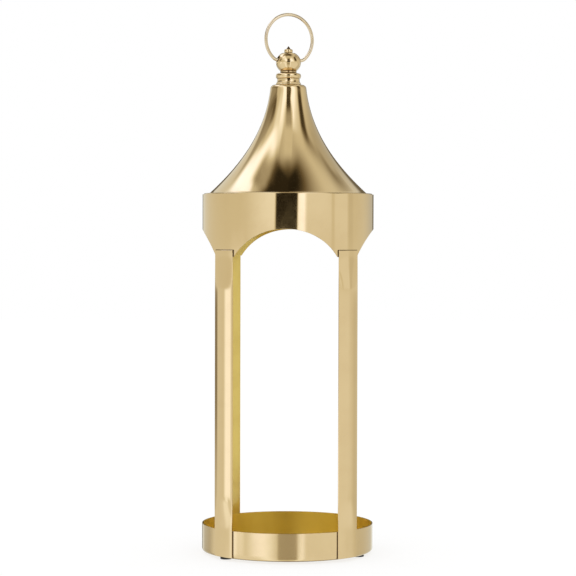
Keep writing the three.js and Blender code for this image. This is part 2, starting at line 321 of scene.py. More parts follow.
# %% Make the band
def make_band():
    low, top = band_low.z, band_high.z
    pitch = math.tau * body_radius / len(leg_azimuths)
    half_span = (pitch - tab_width) / 2
    arch_radius = (half_span ** 2 + arch_rise ** 2) / (2 * arch_rise)
    arch_top = low + arch_rise
    arch_steps, tab_steps, rows = 72, 8, 8
    edge_points = []
    for step in range(arch_steps + 1):
        along = half_span * (2 * step / arch_steps - 1)
        height = arch_top - arch_radius + math.sqrt(arch_radius ** 2 - along ** 2)
        edge_points.append((along, 0, height))
    for step in range(1, tab_steps + 1):
        edge_points.append((half_span + tab_width * step / tab_steps, 0, low))
    mesh = bmesh.new()
    lower_edge = only(Edge, chained(mesh, edge_points))
    upper = bmesh.ops.extrude_edge_only(mesh, edges=lower_edge)["geom"]
    for vertex in only(Vertex, upper):
        vertex.co.z = top
    half_depth = (top - arch_top) / 2
    upright = [
        edge for edge in mesh.edges
        if abs(edge.verts[0].co.z - edge.verts[1].co.z) > half_depth
    ]
    bmesh.ops.subdivide_edges(mesh, edges=upright, cuts=rows - 1, use_grid_fill=True)
    quarter = list(mesh.verts) + list(mesh.edges) + list(mesh.faces)
    for side in range(1, len(leg_azimuths)):
        copy = bmesh.ops.duplicate(mesh, geom=quarter)["geom"]
        bmesh.ops.translate(mesh, vec=(side * pitch, 0, 0), verts=only(Vertex, copy))
    rolled(mesh, body_radius)
    welded(mesh, 10 * weld)
    bmesh.ops.recalc_face_normals(mesh, faces=mesh.faces)
    point_outwards(mesh, (0, -2 * body_radius, top - 5 * MM))
    return from_sheet(mesh, "band", "crown_band", 0.18 * MM, looks_inwards)


band = make_band()

# %% [markdown]
# ## The legs
#
# Each leg is a strip of about an inch. At its two ends it is pressed flat against the band and
# the pan. Between them it keeps the stronger curve across its width that it got in the rolls,
# which is why a bright line runs down the free stretch and stops below the band. The strip is
# a flat grid whose middle columns are pushed outwards along the free stretch, and then it is
# rolled to the body and turned to its corner.

# %% Make the legs
crown = 1.3 * MM
crown_run = 34 * MM


def free_share(height):
    """0 where the leg lies on the pan or the band, 1 on the free stretch, smooth between."""
    from_pan = (height - pan_high.z) / crown_run
    from_band = (band_low.z - height) / crown_run
    share = max(0.0, min(1.0, from_pan, from_band))
    return share * share * (3 - 2 * share)


def make_leg(where, azimuth):
    low, top = leg_low.z, leg_high.z
    mesh = bmesh.new()
    bmesh.ops.create_grid(mesh, x_segments=20, y_segments=120, size=0.5)
    for vertex in mesh.verts:
        across, along = vertex.co.x, vertex.co.y
        height = low + (along + 0.5) * (top - low)
        bulge = crown * free_share(height) * (1 - 4 * across ** 2)
        vertex.co = Vector((across * leg_width, -bulge, height))
    rolled(mesh, body_radius + seat)
    turn = Matrix.Rotation(math.radians(azimuth), 3, "Z")
    bmesh.ops.rotate(mesh, verts=mesh.verts, cent=CENTRE, matrix=turn)
    bmesh.ops.recalc_face_normals(mesh, faces=mesh.faces)
    point_outwards(mesh, turn @ Vector((0, 2 * body_radius, (low + top) / 2)))
    name = "leg_" + where
    return from_sheet(mesh, name + "_strip", name, 0.45 * MM, looks_inwards, leg_gauge, round_map=False)


legs = [make_leg(where, azimuth) for where, azimuth in leg_azimuths.items()]

# %% [markdown]
# ## The roof
#
# The roof is the spinner's showpiece: a small rounded shoulder, a long hollow flare, a tight
# fillet and a flat brim whose edge turns down into the band. The flare is one Bezier curve
# between the direction at the throat and the direction at the foot.

# %% Make the roof
def lean_way(angle):
    """The way down a wall that leans some degrees off the upright, as (outwards, up)."""
    return Vector((math.sin(math.radians(angle)), -math.cos(math.radians(angle))))


def make_roof():
    top, lip_bottom, lip_radius = roof_high.z, roof_low.z, roof_high.x
    throat_radius, shoulder = 18.5 * MM, 4 * MM
    throat_angle, foot_angle = 6.5, 47.5
    throat_reach, foot_reach = 44.8 * MM, 43.4 * MM
    foot_radius, fillet = 80.7 * MM, 1.5 * MM
    bend, lip_depth = 1.1 * MM, 8.4 * MM
    brim_top = lip_bottom + lip_depth + bend

    shoulder_middle = (throat_radius - shoulder, top - shoulder)
    shoulder_arc = arc(shoulder_middle, shoulder, shoulder, 90, throat_angle)
    throat_way, foot_way = lean_way(throat_angle), lean_way(foot_angle)
    throat = Vector(shoulder_arc[-1])
    foot = Vector((foot_radius, brim_top + fillet * (1 - foot_way.x)))
    fillet_middle = (foot.x - fillet * foot_way.y, brim_top + fillet)
    flare = interpolate_bezier(
        throat, throat + throat_reach * throat_way, foot - foot_reach * foot_way, foot, 61,
    )
    outline = [(stud_hole_radius, top)]
    run_on(outline, shoulder_arc[0], 6)
    outline += shoulder_arc[1:]
    outline += [(point.x, point.y) for point in flare[1:-1]]
    outline += arc(fillet_middle, fillet, fillet, 180 + foot_angle, 270, 5)
    run_on(outline, (lip_radius - bend, brim_top), 5)
    outline += arc((lip_radius - bend, brim_top - bend), bend, bend, 90, 0, 6)[1:]
    run_on(outline, (lip_radius, lip_bottom), 4)
    mesh = spun(outline)
    point_outwards(mesh, (lip_radius, 0, top))

    def inside(centre, normal):
        steepest = -0.3 if centre.z < brim_top - sheet_gauge / 2 else -0.02
        return normal.z < steepest or looks_inwards(centre, normal)

    return from_sheet(mesh, "spun_roof", "roof", 0.15 * MM, inside)


roof = make_roof()

# %% [markdown]
# ## The turned finial
#
# The neck, the thin ring above it and the cap nut are cut from rod. The first two are closed
# outlines, from the bore round to the bore again, and the cap nut's runs from axis to axis.
# Small beads are half ovals, and the neck's cove is a curve from the bead out to the foot.

# %% Turn a piece from rod
def from_rod(name, frame_node, outline, closed=True, deburr=0.12 * MM):
    """Sweeps an outline, breaks its edges and gives the piece its map."""
    heights = [height for radius, height in outline]
    mesh = spun(outline, SMALL_STEPS, closed)
    point_outwards(mesh, (0.1, 0, (min(heights) + max(heights)) / 2))
    if deburr > 0:
        rounded(mesh, deburr, over=40, segments=2)
    piece = finished(mesh, name)
    line_up(piece)
    return placed(piece, "polished_brass", frame_node)


print("a rod is swept in steps of %.2f degrees" % (360 / SMALL_STEPS))


# %% Make the neck
def make_neck():
    foot_radius, cove_radius = 12.75 * MM, 11.5 * MM
    bead_radius, top_radius = 12.9 * MM, 8.6 * MM
    edge, foot_height, bead_height, slope = 0.4 * MM, 1.8 * MM, 5.2 * MM, 0.7 * MM
    foot_pull, cove_pull = 0.9 * MM, 0.6 * MM
    low, high = neck_low.z, neck_high.z
    foot_top, bead_top = low + foot_height, high - slope
    bead_middle = (cove_radius, bead_top - bead_height / 2)
    cove = interpolate_bezier(
        Vector((foot_radius, foot_top)), Vector((foot_radius - foot_pull, foot_top)),
        Vector((cove_radius, foot_top + cove_pull)), Vector((cove_radius, bead_top - bead_height)), 12,
    )
    outline = [(stud_hole_radius, low)]
    run_on(outline, (foot_radius - edge, low), 4)
    outline += arc((foot_radius - edge, low + edge), edge, edge, -90, 0, 4)[1:]
    outline += [(point.x, point.y) for point in cove]
    outline += arc(bead_middle, bead_radius - cove_radius, bead_height / 2, -90, 90, 16)[1:]
    run_on(outline, (top_radius, high), 4)
    run_on(outline, (stud_hole_radius, high), 4)
    return from_rod("turned_neck", "neck_collar", outline)


neck = make_neck()


# %% Make the spacer
def make_spacer():
    edge_radius, inner_radius = 8.4 * MM, 7.5 * MM
    low, high = spacer_low.z, spacer_high.z
    middle, half = (low + high) / 2, (high - low) / 2
    outline = [(stud_hole_radius, low)]
    outline += arc((inner_radius, middle), edge_radius - inner_radius, half, -90, 90, 12)
    outline += [(stud_hole_radius, high)]
    return from_rod("turned_spacer", "ball_spacer", outline, deburr=0)


spacer = make_spacer()


# %% Make the cap nut
def make_tip():
    neck_radius, bead_radius, bead_height = 3.6 * MM, 4.4 * MM, 3.7 * MM
    point_radius, bore_depth, nose = 2.5 * MM, 2.9 * MM, 0.25 * MM
    low, high = tip_low.z, tip_high.z
    bore_end, bead_top, half = low + bore_depth, low + bead_height, bead_height / 2
    outline = [(0, bore_end), (stud_hole_radius, bore_end), (stud_hole_radius, low)]
    outline += arc((neck_radius, low + half), bead_radius - neck_radius, half, -90, 90, 14)
    outline += [(point_radius, bead_top)]
    run_on(outline, (nose, high - nose), 5)
    outline += [(0, high)]
    tip = from_rod("cap_nut", "tip_nut", outline, closed=False)
    # The point above the bead takes the dark brown finish.
    faces_inside(tip, lambda centre, normal: centre.z > bead_top + 0.05 * MM)
    return tip


tip = make_tip()

# %% [markdown]
# ## The ball and its two holes
#
# The ball is a hollow shell, a little flattened, with a flat at each end. The two cross holes
# are drilled through one wall each, on one line a little above the middle. bmesh has no drill,
# so a Boolean modifier takes a cylinder away, and its result is kept as the mesh. Its new
# edges are then broken with a small bevel, as a countersink would.

# %% Cut one piece with another
def carved(piece, tool, operation):
    """The mesh of a piece after a Boolean with a tool. Both objects are used up."""
    cut = piece.modifiers.new("carve", "BOOLEAN")
    cut.operation = operation
    cut.solver = "EXACT"
    cut.object = tool
    mesh = bmesh.new()
    mesh.from_object(piece, bpy.context.evaluated_depsgraph_get())
    bpy.data.objects.remove(piece)
    bpy.data.objects.remove(tool)
    welded(mesh, 20 * weld)
    return mesh


def rod(mesh, radius, depth, place, segments):
    """A closed upright cylinder."""
    bmesh.ops.create_cone(
        mesh, cap_ends=True, segments=segments, radius1=radius, radius2=radius, depth=depth, matrix=place,
    )


print("the cross holes lie %.1f mm above the ball's middle" % (1e3 * cross_hole_rise))


# %% Make the ball
def make_ball():
    radius, half_height = ball_radius, ball_half_height
    top_flat, bottom_flat, gauge = 6.9 * MM, 8.4 * MM, 1.2 * MM
    hole_radius, hole_rise = 3.3 * MM, cross_hole_rise + 0.2 * MM
    low, high = (corner.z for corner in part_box("ball"))
    middle = low + half_height * math.sqrt(1 - (bottom_flat / radius) ** 2)
    start = -math.degrees(math.acos(bottom_flat / radius))
    end = math.degrees(math.acos(top_flat / radius))
    outline = [(stud_hole_radius, low)]
    run_on(outline, (bottom_flat, low), 4)
    top = [(top_flat, high)]
    run_on(top, (stud_hole_radius, high), 4)
    outline += arc((0, middle), radius, half_height, start, end, 48)[1:] + top[1:]
    mesh = spun(outline, BALL_STEPS)
    point_outwards(mesh, (0.1, 0, middle))
    thickened(mesh, gauge)
    shell = finished(mesh, "drilled_ball")
    mesh = bmesh.new()
    rod(mesh, hole_radius, 4 * radius, Matrix.Translation((0, 0, middle + hole_rise)) @ SIDEWAYS, 48)
    mesh = carved(shell, finished(mesh, "drill"), "DIFFERENCE")
    bmesh.ops.rotate(mesh, verts=mesh.verts, cent=CENTRE, matrix=finial_turn)
    rounded(mesh, 0.35 * MM, over=40, segments=2)
    ball = finished(mesh, "finial_ball")
    skin = 0.2 * MM

    def inside(centre, normal):
        from_middle = Vector((centre.x / radius, centre.y / radius, (centre.z - middle) / half_height))
        return from_middle.length < 0.99 and low + skin < centre.z < high - skin

    faces_inside(ball, inside)
    line_up(ball)
    return placed(ball, "polished_brass", "ball")


ball = make_ball()

# %% [markdown]
# ## The carry ring
#
# The ring is one wire. It starts inside the ball, comes out along the line of the two holes,
# turns up through a tight bend and goes round. A curve with a round bevel would make it, but
# spinning the cut end of the wire shows how a bender works: each bend is one spin of the last
# section about the middle of that bend.

# %% The cut end of a wire
def wire_end(mesh, radius, place, segments=10):
    """A circle of vertices, and the edges between them."""
    verts = bmesh.ops.create_circle(mesh, segments=segments, radius=radius, matrix=place)["verts"]
    return verts + list(dict.fromkeys(edge for vertex in verts for edge in vertex.link_edges))


# %% Make the carry ring
def make_ring():
    wire, radius, mouth, bend, tuck = 1.65 * MM, 25.85 * MM, 30.4 * MM, 6.5 * MM, 4 * MM
    slip = 0.8 * MM
    hole_edge = ball_radius * math.sqrt(1 - (cross_hole_rise / ball_half_height) ** 2)
    axis_height = frame["joints"][0]["pos_m"][2]
    rise = math.sqrt(radius ** 2 - (mouth / 2) ** 2)
    bend_middle = math.sqrt((radius - bend) ** 2 - (rise - bend) ** 2)
    bend_turn = math.acos((rise - bend) / (radius - bend))
    start_x = tuck - hole_edge
    mesh = bmesh.new()

    def pushed(edges, steps=4):
        """Carries the end of the wire on, between the ball's inside and a bend."""
        for _ in range(steps):
            new = bmesh.ops.extrude_edge_only(mesh, edges=edges)["geom"]
            verts = only(Vertex, new)
            edges = [edge for edge in only(Edge, new) if set(edge.verts) <= set(verts)]
            bmesh.ops.translate(mesh, vec=Vector((-bend_middle - start_x, 0, 0)) / steps, verts=verts)
        return edges

    def bent(edges, centre, angle, steps):
        """Bends the wire on from its end."""
        verts = list(dict.fromkeys(vertex for edge in edges for vertex in edge.verts))
        return swept(mesh, verts + edges, angle, steps, centre=centre, axis=(0, 1, 0))

    ends = wire_end(mesh, wire, Matrix.Translation((start_x, 0, 0)) @ SIDEWAYS, segments=24)
    ends = pushed(only(Edge, ends))
    ends = bent(ends, (-bend_middle, 0, bend), bend_turn, 12)
    ends = bent(ends, (0, 0, rise), math.tau - 2 * bend_turn, 160)
    ends = bent(ends, (bend_middle, 0, bend), bend_turn, 12)
    pushed(ends)
    welded(mesh)
    closed_off(mesh)
    rounded(mesh, 0.3 * MM, over=60)
    bmesh.ops.translate(mesh, vec=(slip, 0, axis_height), verts=mesh.verts)
    bmesh.ops.rotate(mesh, verts=mesh.verts, cent=CENTRE, matrix=finial_turn)
    return placed(finished(mesh, "swinging_ring"), "polished_brass", "carry_ring", body="ring")


ring = make_ring()

# %% [markdown]
# ## What holds it together inside
#
# Look up into the roof and you see a washer, a nut and the end of a threaded stud. The thread
# is one small V that is spun about the axis and lifted by its pitch on each turn, which is
# what `spin` does when `dvec` isn't zero. The nut is a six-sided cylinder whose corners were
# turned off.

# %% Make the stud
def make_stud():
    low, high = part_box("finial_stud")
    core, crest, pitch = 1.72 * MM, -low.x, 0.7 * MM
    bottom = low.z + 0.2 * MM
    steps, turns = 24, int((high.z - low.z) / pitch) - 1
    one_v = [(core, 0), (core, 0.16), (crest, 0.5), (core, 0.84), (core, 1)]
    mesh = bmesh.new()
    chain = chained(mesh, [(radius, 0, bottom + share * pitch) for radius, share in one_v])
    swept(mesh, chain, math.tau * turns, steps * turns, lift=pitch / steps)
    welded(mesh, 4 * weld)
    closed_off(mesh)
    return placed(finished(mesh, "threaded_stud"), "zinc_steel", "finial_stud")


stud = make_stud()


# %% Make the nut
def make_nut():
    low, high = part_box("roof_nut")
    corner, flats = max(high.x, high.y), min(high.x, high.y)
    turned_off, past = 0.4 * MM, 0.01 * MM
    face_radius = 0.97 * flats
    turn = Matrix.Rotation(0 if high.x > high.y else math.pi / 2, 4, "Z")
    mesh = bmesh.new()
    rod(mesh, corner, high.z - low.z, Matrix.Translation((0, 0, (low.z + high.z) / 2)) @ turn, 6)
    hexagon = finished(mesh, "hexagon")
    outline = [
        (stud_hole_radius, low.z), (face_radius, low.z), (corner + past, low.z + turned_off),
        (corner + past, high.z - turned_off), (face_radius, high.z), (stud_hole_radius, high.z),
    ]
    form = finished(spun(outline, SMALL_STEPS, closed=True), "chamfer_form")
    nut = finished(carved(hexagon, form, "INTERSECT"), "hex_nut")
    return placed(nut, "zinc_steel", "roof_nut")


nut = make_nut()


# %% Make the washer
def make_washer():
    low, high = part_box("roof_washer")
    inner, outer = stud_hole_radius, high.x
    mesh = spun([(inner, low.z), (outer, low.z), (outer, high.z), (inner, high.z)], SMALL_STEPS, closed=True)
    point_outwards(mesh, (0.1, 0, (low.z + high.z) / 2))
    rounded(mesh, 0.12 * MM)
    return placed(finished(mesh, "pressed_washer"), "zinc_steel", "roof_washer")


washer = make_washer()

# %% [markdown]
# ## The pads
#
# Three small rubber feet are glued under the pan, a third of a turn apart. Each is punched or
# moulded as a short cylinder with soft edges, which a cone with equal ends and a bevel give.

# %% Make the pads
def make_pad(number):
    low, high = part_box("pad_%d" % number)
    mesh = bmesh.new()
    rod(mesh, (high.x - low.x) / 2, high.z - low.z, Matrix.Translation((low + high) / 2), 64)
    rounded(mesh, 0.5 * MM, segments=4)
    pad = finished(mesh, "rubber_foot_%d" % number)
    return placed(pad, "pad", "pad_%d" % number)


pads = [make_pad(number) for number in (1, 2, 3)]

# %% [markdown]
# ## The dark seams and the painted gap shade
#
# A thin dark ring lies in the seam under each turned piece of the finial.
# Where a leg lies on the band or on the pan, a thin dark line runs along its edges: the shade
# in the narrow gap between the leg and the sheet under it. That shade is painted here as a dark
# bead under a millimetre thick: a rod up each side, and the end of a wire spun across the top.
# Dark paint could stand for both, but a bead has an edge of its own.

# %% Make the seams of the finial
def make_seam(name, radius, height, size):
    """A thin dark ring in the seam between two turned pieces."""
    mesh = bmesh.new()
    place = Matrix.Translation((radius, 0, height)) @ Matrix.Rotation(math.pi / 2, 4, "X")
    swept(mesh, wire_end(mesh, size, place), math.tau, SMALL_STEPS)
    closed_off(mesh)
    return placed(finished(mesh, name), "polished_brass")


seams = []
for above, radius, near, rise, size in (
    ("tip", 4.1, tip_low, -0.1, 0.45), ("ball", 8.1, spacer_high, 0.1, 0.4),
    ("spacer", 8.1, spacer_low, -0.15, 0.4), ("bead", 11.4, neck_high, -5.9, 0.3),
    ("neck", 12.6, neck_low, -0.1, 0.4),
):
    seams.append(make_seam("seam_under_" + above, radius * MM, near.z + rise * MM, size * MM))


# %% Make the beads of painted gap shade
bead_size = 0.42 * MM


def make_gap_shade_bead(where, azimuth, low, high, across_top):
    """Beads of painted gap shade up both sides of a leg between two heights, and across its top if asked."""
    mesh = bmesh.new()
    reach = body_radius + 0.2 * MM
    half = (leg_width / 2 + 0.25 * MM) / body_radius
    middle = math.radians(azimuth)
    for angle in (middle - half, middle + half):
        place = Vector((reach * math.sin(angle), -reach * math.cos(angle), (low + high) / 2))
        rod(mesh, bead_size, high - low, Matrix.Translation(place), 10)
    if across_top:
        start = Matrix.Rotation(middle - half, 4, "Z") @ Matrix.Translation((0, -reach, high))
        swept(mesh, wire_end(mesh, bead_size, start @ SIDEWAYS), 2 * half, 16)
    closed_off(mesh)
    return placed(finished(mesh, where), "polished_brass")


# Painted gap shade where each leg lies on the band and on the pan.
joints = []
for where, azimuth in leg_azimuths.items():
    top = leg_high.z + 0.1 * MM
    joints.append(make_gap_shade_bead("band_gap_shade_" + where, azimuth, band_low.z, top, True))
    joints.append(make_gap_shade_bead("pan_gap_shade_" + where, azimuth, leg_low.z, pan_high.z, False))

# %% [markdown]
# ## Finishes
#
# Each finish has one Principled shader. What stays the same all over, such as the clear coat,
# is a plain number on it. What changes over the metal comes from four small node groups that
# the finishes share: slow waves in the sheet, fine lines round the axis, hairlines in all
# directions, and a soft haze of handling. A photograph or a painted texture could do this,
# but nodes stay sharp at any distance and need no file.

# %% Node helpers
def fill(tree, inputs, values):
    """Fills the inputs of a node from {socket: number, colour or output}."""
    for socket, value in values.items():
        if isinstance(value, bpy.types.NodeSocket):
            tree.links.new(value, inputs[socket])
        else:
            inputs[socket].default_value = value


def node(tree, kind, values=None, **settings):
    """Adds a node, makes its settings and fills its inputs."""
    made_node = tree.nodes.new(kind)
    for key, value in settings.items():
        setattr(made_node, key, value)
    fill(tree, made_node.inputs, values or {})
    return made_node


def maths(tree, operation, *terms):
    """The outcome of a sum on numbers or outputs."""
    return node(tree, "ShaderNodeMath", dict(enumerate(terms)), operation=operation).outputs[0]


def noise(tree, vector, scale=1.0, detail=2.0, roughness=0.5):
    """A cloudy grey value."""
    values = {"Vector": vector, "Scale": scale, "Detail": detail, "Roughness": roughness}
    return node(tree, "ShaderNodeTexNoise", values).outputs["Fac"]


def soft_step(tree, value, low, high, first=0.0, last=1.0):
    """Goes from the first value to the last, softly, while a value goes from low to high."""
    values = {"Value": value, "From Min": low, "From Max": high, "To Min": first, "To Max": last}
    return node(tree, "ShaderNodeMapRange", values, interpolation_type="SMOOTHSTEP").outputs[0]


def stretched(tree, vector, scale):
    """A vector multiplied by a scale for each axis."""
    return node(tree, "ShaderNodeVectorMath", {0: vector, 1: scale}, operation="MULTIPLY").outputs[0]


def new_group(name, inputs, output):
    """An empty node group, what comes into it, and its one way out."""
    group = bpy.data.node_groups.new(name, "ShaderNodeTree")
    for title, default in inputs.items():
        kind = "NodeSocketVector" if default is None else "NodeSocketFloat"
        socket = group.interface.new_socket(title, in_out="INPUT", socket_type=kind)
        if default is not None:
            socket.default_value = default
    group.interface.new_socket(output, in_out="OUTPUT", socket_type="NodeSocketFloat")
    source = group.nodes.new("NodeGroupInput").outputs
    return group, source, group.nodes.new("NodeGroupOutput").inputs[output]


print("node helpers are ready")


# %% The shared effects: waves and turning lines
def make_waves():
    """Slow waves, as sheet has after rolling and pressing."""
    group, source, sink = new_group("sheet waves", {"Vector": None, "Scale": 14.0}, "Height")
    group.links.new(noise(group, source["Vector"], source["Scale"], detail=1.0), sink)
    return group


def make_turning():
    """Fine lines round the axis, as a spinner's or a turner's tool leaves them."""
    group, source, sink = new_group("turning lines", {"Vector": None, "Fineness": 1.0}, "Height")
    parts = node(group, "ShaderNodeSeparateXYZ", {"Vector": source["Vector"]})
    x, y, z = (parts.outputs[axis] for axis in "XYZ")
    squares = maths(group, "MULTIPLY_ADD", y, y, maths(group, "MULTIPLY", x, x))
    along = maths(group, "SUBTRACT", z, maths(group, "SQRT", squares))
    fine = maths(group, "MULTIPLY", along, source["Fineness"])
    flat = node(group, "ShaderNodeCombineXYZ", {"X": x, "Y": y, "Z": fine}).outputs[0]
    group.links.new(noise(group, stretched(group, flat, (9, 9, 2600))), sink)
    return group


waves = make_waves()
turning = make_turning()
print("shared effects:", waves.name, "and", turning.name)


# %% The shared effects: hairlines and haze
def make_hairlines():
    """Short scratches in all directions from wiping and packing."""
    group, source, sink = new_group("hairlines", {"Vector": None, "Amount": 0.5}, "Mask")
    total = 0.0
    for turn, offset in ((0.4, 0.0), (1.5, 3.1), (2.6, 7.7)):
        place = {"Vector": source["Vector"], "Location": (offset,) * 3, "Rotation": (turn,) * 3}
        turned = node(group, "ShaderNodeMapping", place).outputs[0]
        line = noise(group, stretched(group, turned, (25, 1800, 25)))
        total = maths(group, "MAXIMUM", total, soft_step(group, line, 0.7, 0.78))
    group.links.new(maths(group, "MULTIPLY", total, source["Amount"]), sink)
    return group


def make_haze():
    """Soft patches where the lacquer was touched or wiped."""
    group, source, sink = new_group("haze", {"Vector": None, "Scale": 30.0}, "Mask")
    cloud = noise(group, source["Vector"], source["Scale"], detail=5.0, roughness=0.6)
    group.links.new(soft_step(group, cloud, 0.4, 0.75), sink)
    return group


hairlines = make_hairlines()
haze = make_haze()
print("shared effects:", hairlines.name, "and", haze.name)


# %% One recipe for all the metals
def effect(tree, group, **inputs):
    """Places a shared effect in a material and gives its outputs."""
    return node(tree, "ShaderNodeGroup", inputs, node_tree=group).outputs


def mixed(tree, mask, low, high):
    """A value that goes from low to high with a mask."""
    return node(tree, "ShaderNodeMapRange", {"Value": mask, "To Min": low, "To Max": high}).outputs[0]


def mixed_colour(tree, mask, first, second):
    """A colour that goes from the first to the second with a mask."""
    values = {"Factor": mask, "A": (*first, 1), "B": (*second, 1)}
    return node(tree, "ShaderNodeMix", values, data_type="RGBA").outputs["Result"]


def bump(tree, shader, height, depth):
    """Lets a height show as relief. A finish has one: waves, turning lines or grain."""
    relief = node(tree, "ShaderNodeBump", {"Height": height, "Distance": depth})
    tree.links.new(relief.outputs["Normal"], shader["Normal"])


def new_finish(name):
    """A material, its node tree and its shader's inputs."""
    material = bpy.data.materials.new(name)
    material.use_nodes = True
    return material, material.node_tree, material.node_tree.nodes["Principled BSDF"].inputs


def metal(
    name, colour, worn, smooth, rough, coat=1.0, spread=0.0, lines=0.0, wave=0.0, fineness=1.0,
    scratches=0.5,
):
    """Lacquered metal: a colour and a worn colour, two roughnesses, and turning lines or waves."""
    material, tree, shader = new_finish(name)
    place = node(tree, "ShaderNodeTexCoord").outputs["Object"]
    soft = effect(tree, haze, Vector=place, Scale=34.0)["Mask"]
    hairs = effect(tree, hairlines, Vector=place, Amount=scratches)["Mask"]
    marks = maths(tree, "MAXIMUM", soft, hairs)
    fill(tree, shader, {
        "Base Color": mixed_colour(tree, soft, colour, worn),
        "Roughness": mixed(tree, marks, smooth, rough),
        "Metallic": 1.0, "Coat Weight": coat, "Coat Roughness": 0.03, "Coat IOR": 1.5,
    })
    if wave > 0:
        bump(tree, shader, effect(tree, waves, Vector=place, Scale=14.0)["Height"], wave)
    if lines > 0:
        bump(tree, shader, effect(tree, turning, Vector=place, Fineness=fineness)["Height"], lines)
    if spread > 0:
        tangent = node(tree, "ShaderNodeTangent", direction_type="UV_MAP", uv_map="round").outputs[0]
        fill(tree, shader, {"Anisotropic": spread, "Anisotropic Rotation": 0.25, "Tangent": tangent})
    return material


print("the recipe for metal is ready")


# %% The metals
BRASS = ((0.80, 0.60, 0.32), (0.77, 0.57, 0.30))
GOLD = ((0.80, 0.60, 0.15), (0.76, 0.56, 0.13))
DEEP_GOLD = ((0.9, 0.675, 0.14), (0.87, 0.64, 0.125))
PALE_BRASS = ((0.80, 0.65, 0.44), (0.76, 0.60, 0.39))
DARK_BROWN_AND_GAP_SHADE = ((0.16, 0.10, 0.045), (0.10, 0.06, 0.03))
ZINC = ((0.62, 0.62, 0.60), (0.5, 0.5, 0.48))

polished = metal("polished brass sheet", *BRASS, 0.05, 0.09, wave=0.02 * MM)
spun_brass = metal("spun brass", *BRASS, 0.07, 0.10, spread=0.5, lines=0.0004 * MM)
turned_brass = metal("turned brass", *BRASS, 0.07, 0.10, lines=0.0003 * MM, fineness=1.4)
wire_brass = metal("drawn brass wire", *PALE_BRASS, 0.18, 0.24, scratches=0.0)
satin = metal("satin brass", *BRASS, 0.13, 0.18, spread=0.7, lines=0.001 * MM)
inner_gold = metal("gold lacquer", *GOLD, 0.30, 0.38)
pan_gold = metal("deep gold lacquer", *DEEP_GOLD, 0.42, 0.5)
# Dark brown for the finial's seams and the cap nut's point, and painted gap shade at the legs.
dark_brown_and_gap_shade = metal("dark brown finish and painted gap shade", *DARK_BROWN_AND_GAP_SHADE, 0.45, 0.6, coat=0.3)
zinc = metal("zinc plate", *ZINC, 0.28, 0.4, coat=0.0)
print("metals:", polished.name, "to", zinc.name)


# %% The rubber
def make_rubber():
    material, tree, shader = new_finish("black rubber")
    place = node(tree, "ShaderNodeTexCoord").outputs["Object"]
    dust = effect(tree, haze, Vector=place, Scale=260.0)["Mask"]
    grain = effect(tree, waves, Vector=place, Scale=2400.0)["Height"]
    dusted = mixed_colour(tree, dust, (0.02, 0.019, 0.018), (0.04, 0.038, 0.035))
    fill(tree, shader, {"Base Color": dusted, "Roughness": mixed(tree, dust, 0.65, 0.85)})
    bump(tree, shader, grain, 0.05 * MM)
    return material


rubber = make_rubber()
print("made", rubber.name)


# %% Dress the pieces
def dress(pieces, *materials):
    """Gives each piece its materials, in the order that its faces number them."""
    for piece in pieces:
        for material in materials:
            piece.data.materials.append(material)


dress([pan], satin, pan_gold)
dress([band], polished, inner_gold)
dress(legs, polished, inner_gold)
dress([roof], spun_brass, inner_gold)
dress([neck, spacer], turned_brass)
dress([tip], turned_brass, dark_brown_and_gap_shade)
dress([ball], turned_brass, inner_gold)
dress([ring], wire_brass)
dress([stud, nut, washer], zinc)
dress(pads, rubber)
dress(joints + seams, dark_brown_and_gap_shade)
print("finishes in use:", len(bpy.data.materials))

# %% [markdown]
# ## The studio
#
# Polished metal has no look of its own. The photographer stood black and white boards round
# the lantern, and the stripes on it are those boards. Real boards could be modelled, but they
# would stand in other views. So they are painted into the world, by direction, and only
# mirror rays see them. The camera sees plain white, and everything that isn't a mirror gets
# plain even light. Each board is a soft-edged mask in azimuth and elevation, 0 degrees being
# towards the front, and its brightness is laid over what is behind it.

# %% The mask of one board
BOARD_SIDES = ("From", "To", "Low", "High", "Soft From", "Soft To", "Soft Low", "Soft High", "Lean")


def make_board_mask():
    inputs = dict.fromkeys(("Azimuth", "Elevation", *BOARD_SIDES), 1.0)
    group, board, sink = new_group("board mask", inputs, "Mask")

    def edge(value, side, first, last):
        soft = board["Soft " + side]
        start = maths(group, "SUBTRACT", board[side], soft)
        end = maths(group, "ADD", board[side], soft)
        return soft_step(group, value, start, end, first, last)

    leaned = maths(group, "MULTIPLY_ADD", board["Elevation"], board["Lean"], board["Azimuth"])
    wide = maths(group, "MULTIPLY", edge(leaned, "From", 0.0, 1.0), edge(leaned, "To", 1.0, 0.0))
    lifted = maths(group, "MULTIPLY", wide, edge(board["Elevation"], "Low", 0.0, 1.0))
    mask = maths(group, "MULTIPLY", lifted, edge(board["Elevation"], "High", 1.0, 0.0))
    group.links.new(mask, sink)
    return group


board_mask = make_board_mask()
print("a board mask has", len(board_mask.nodes), "nodes")


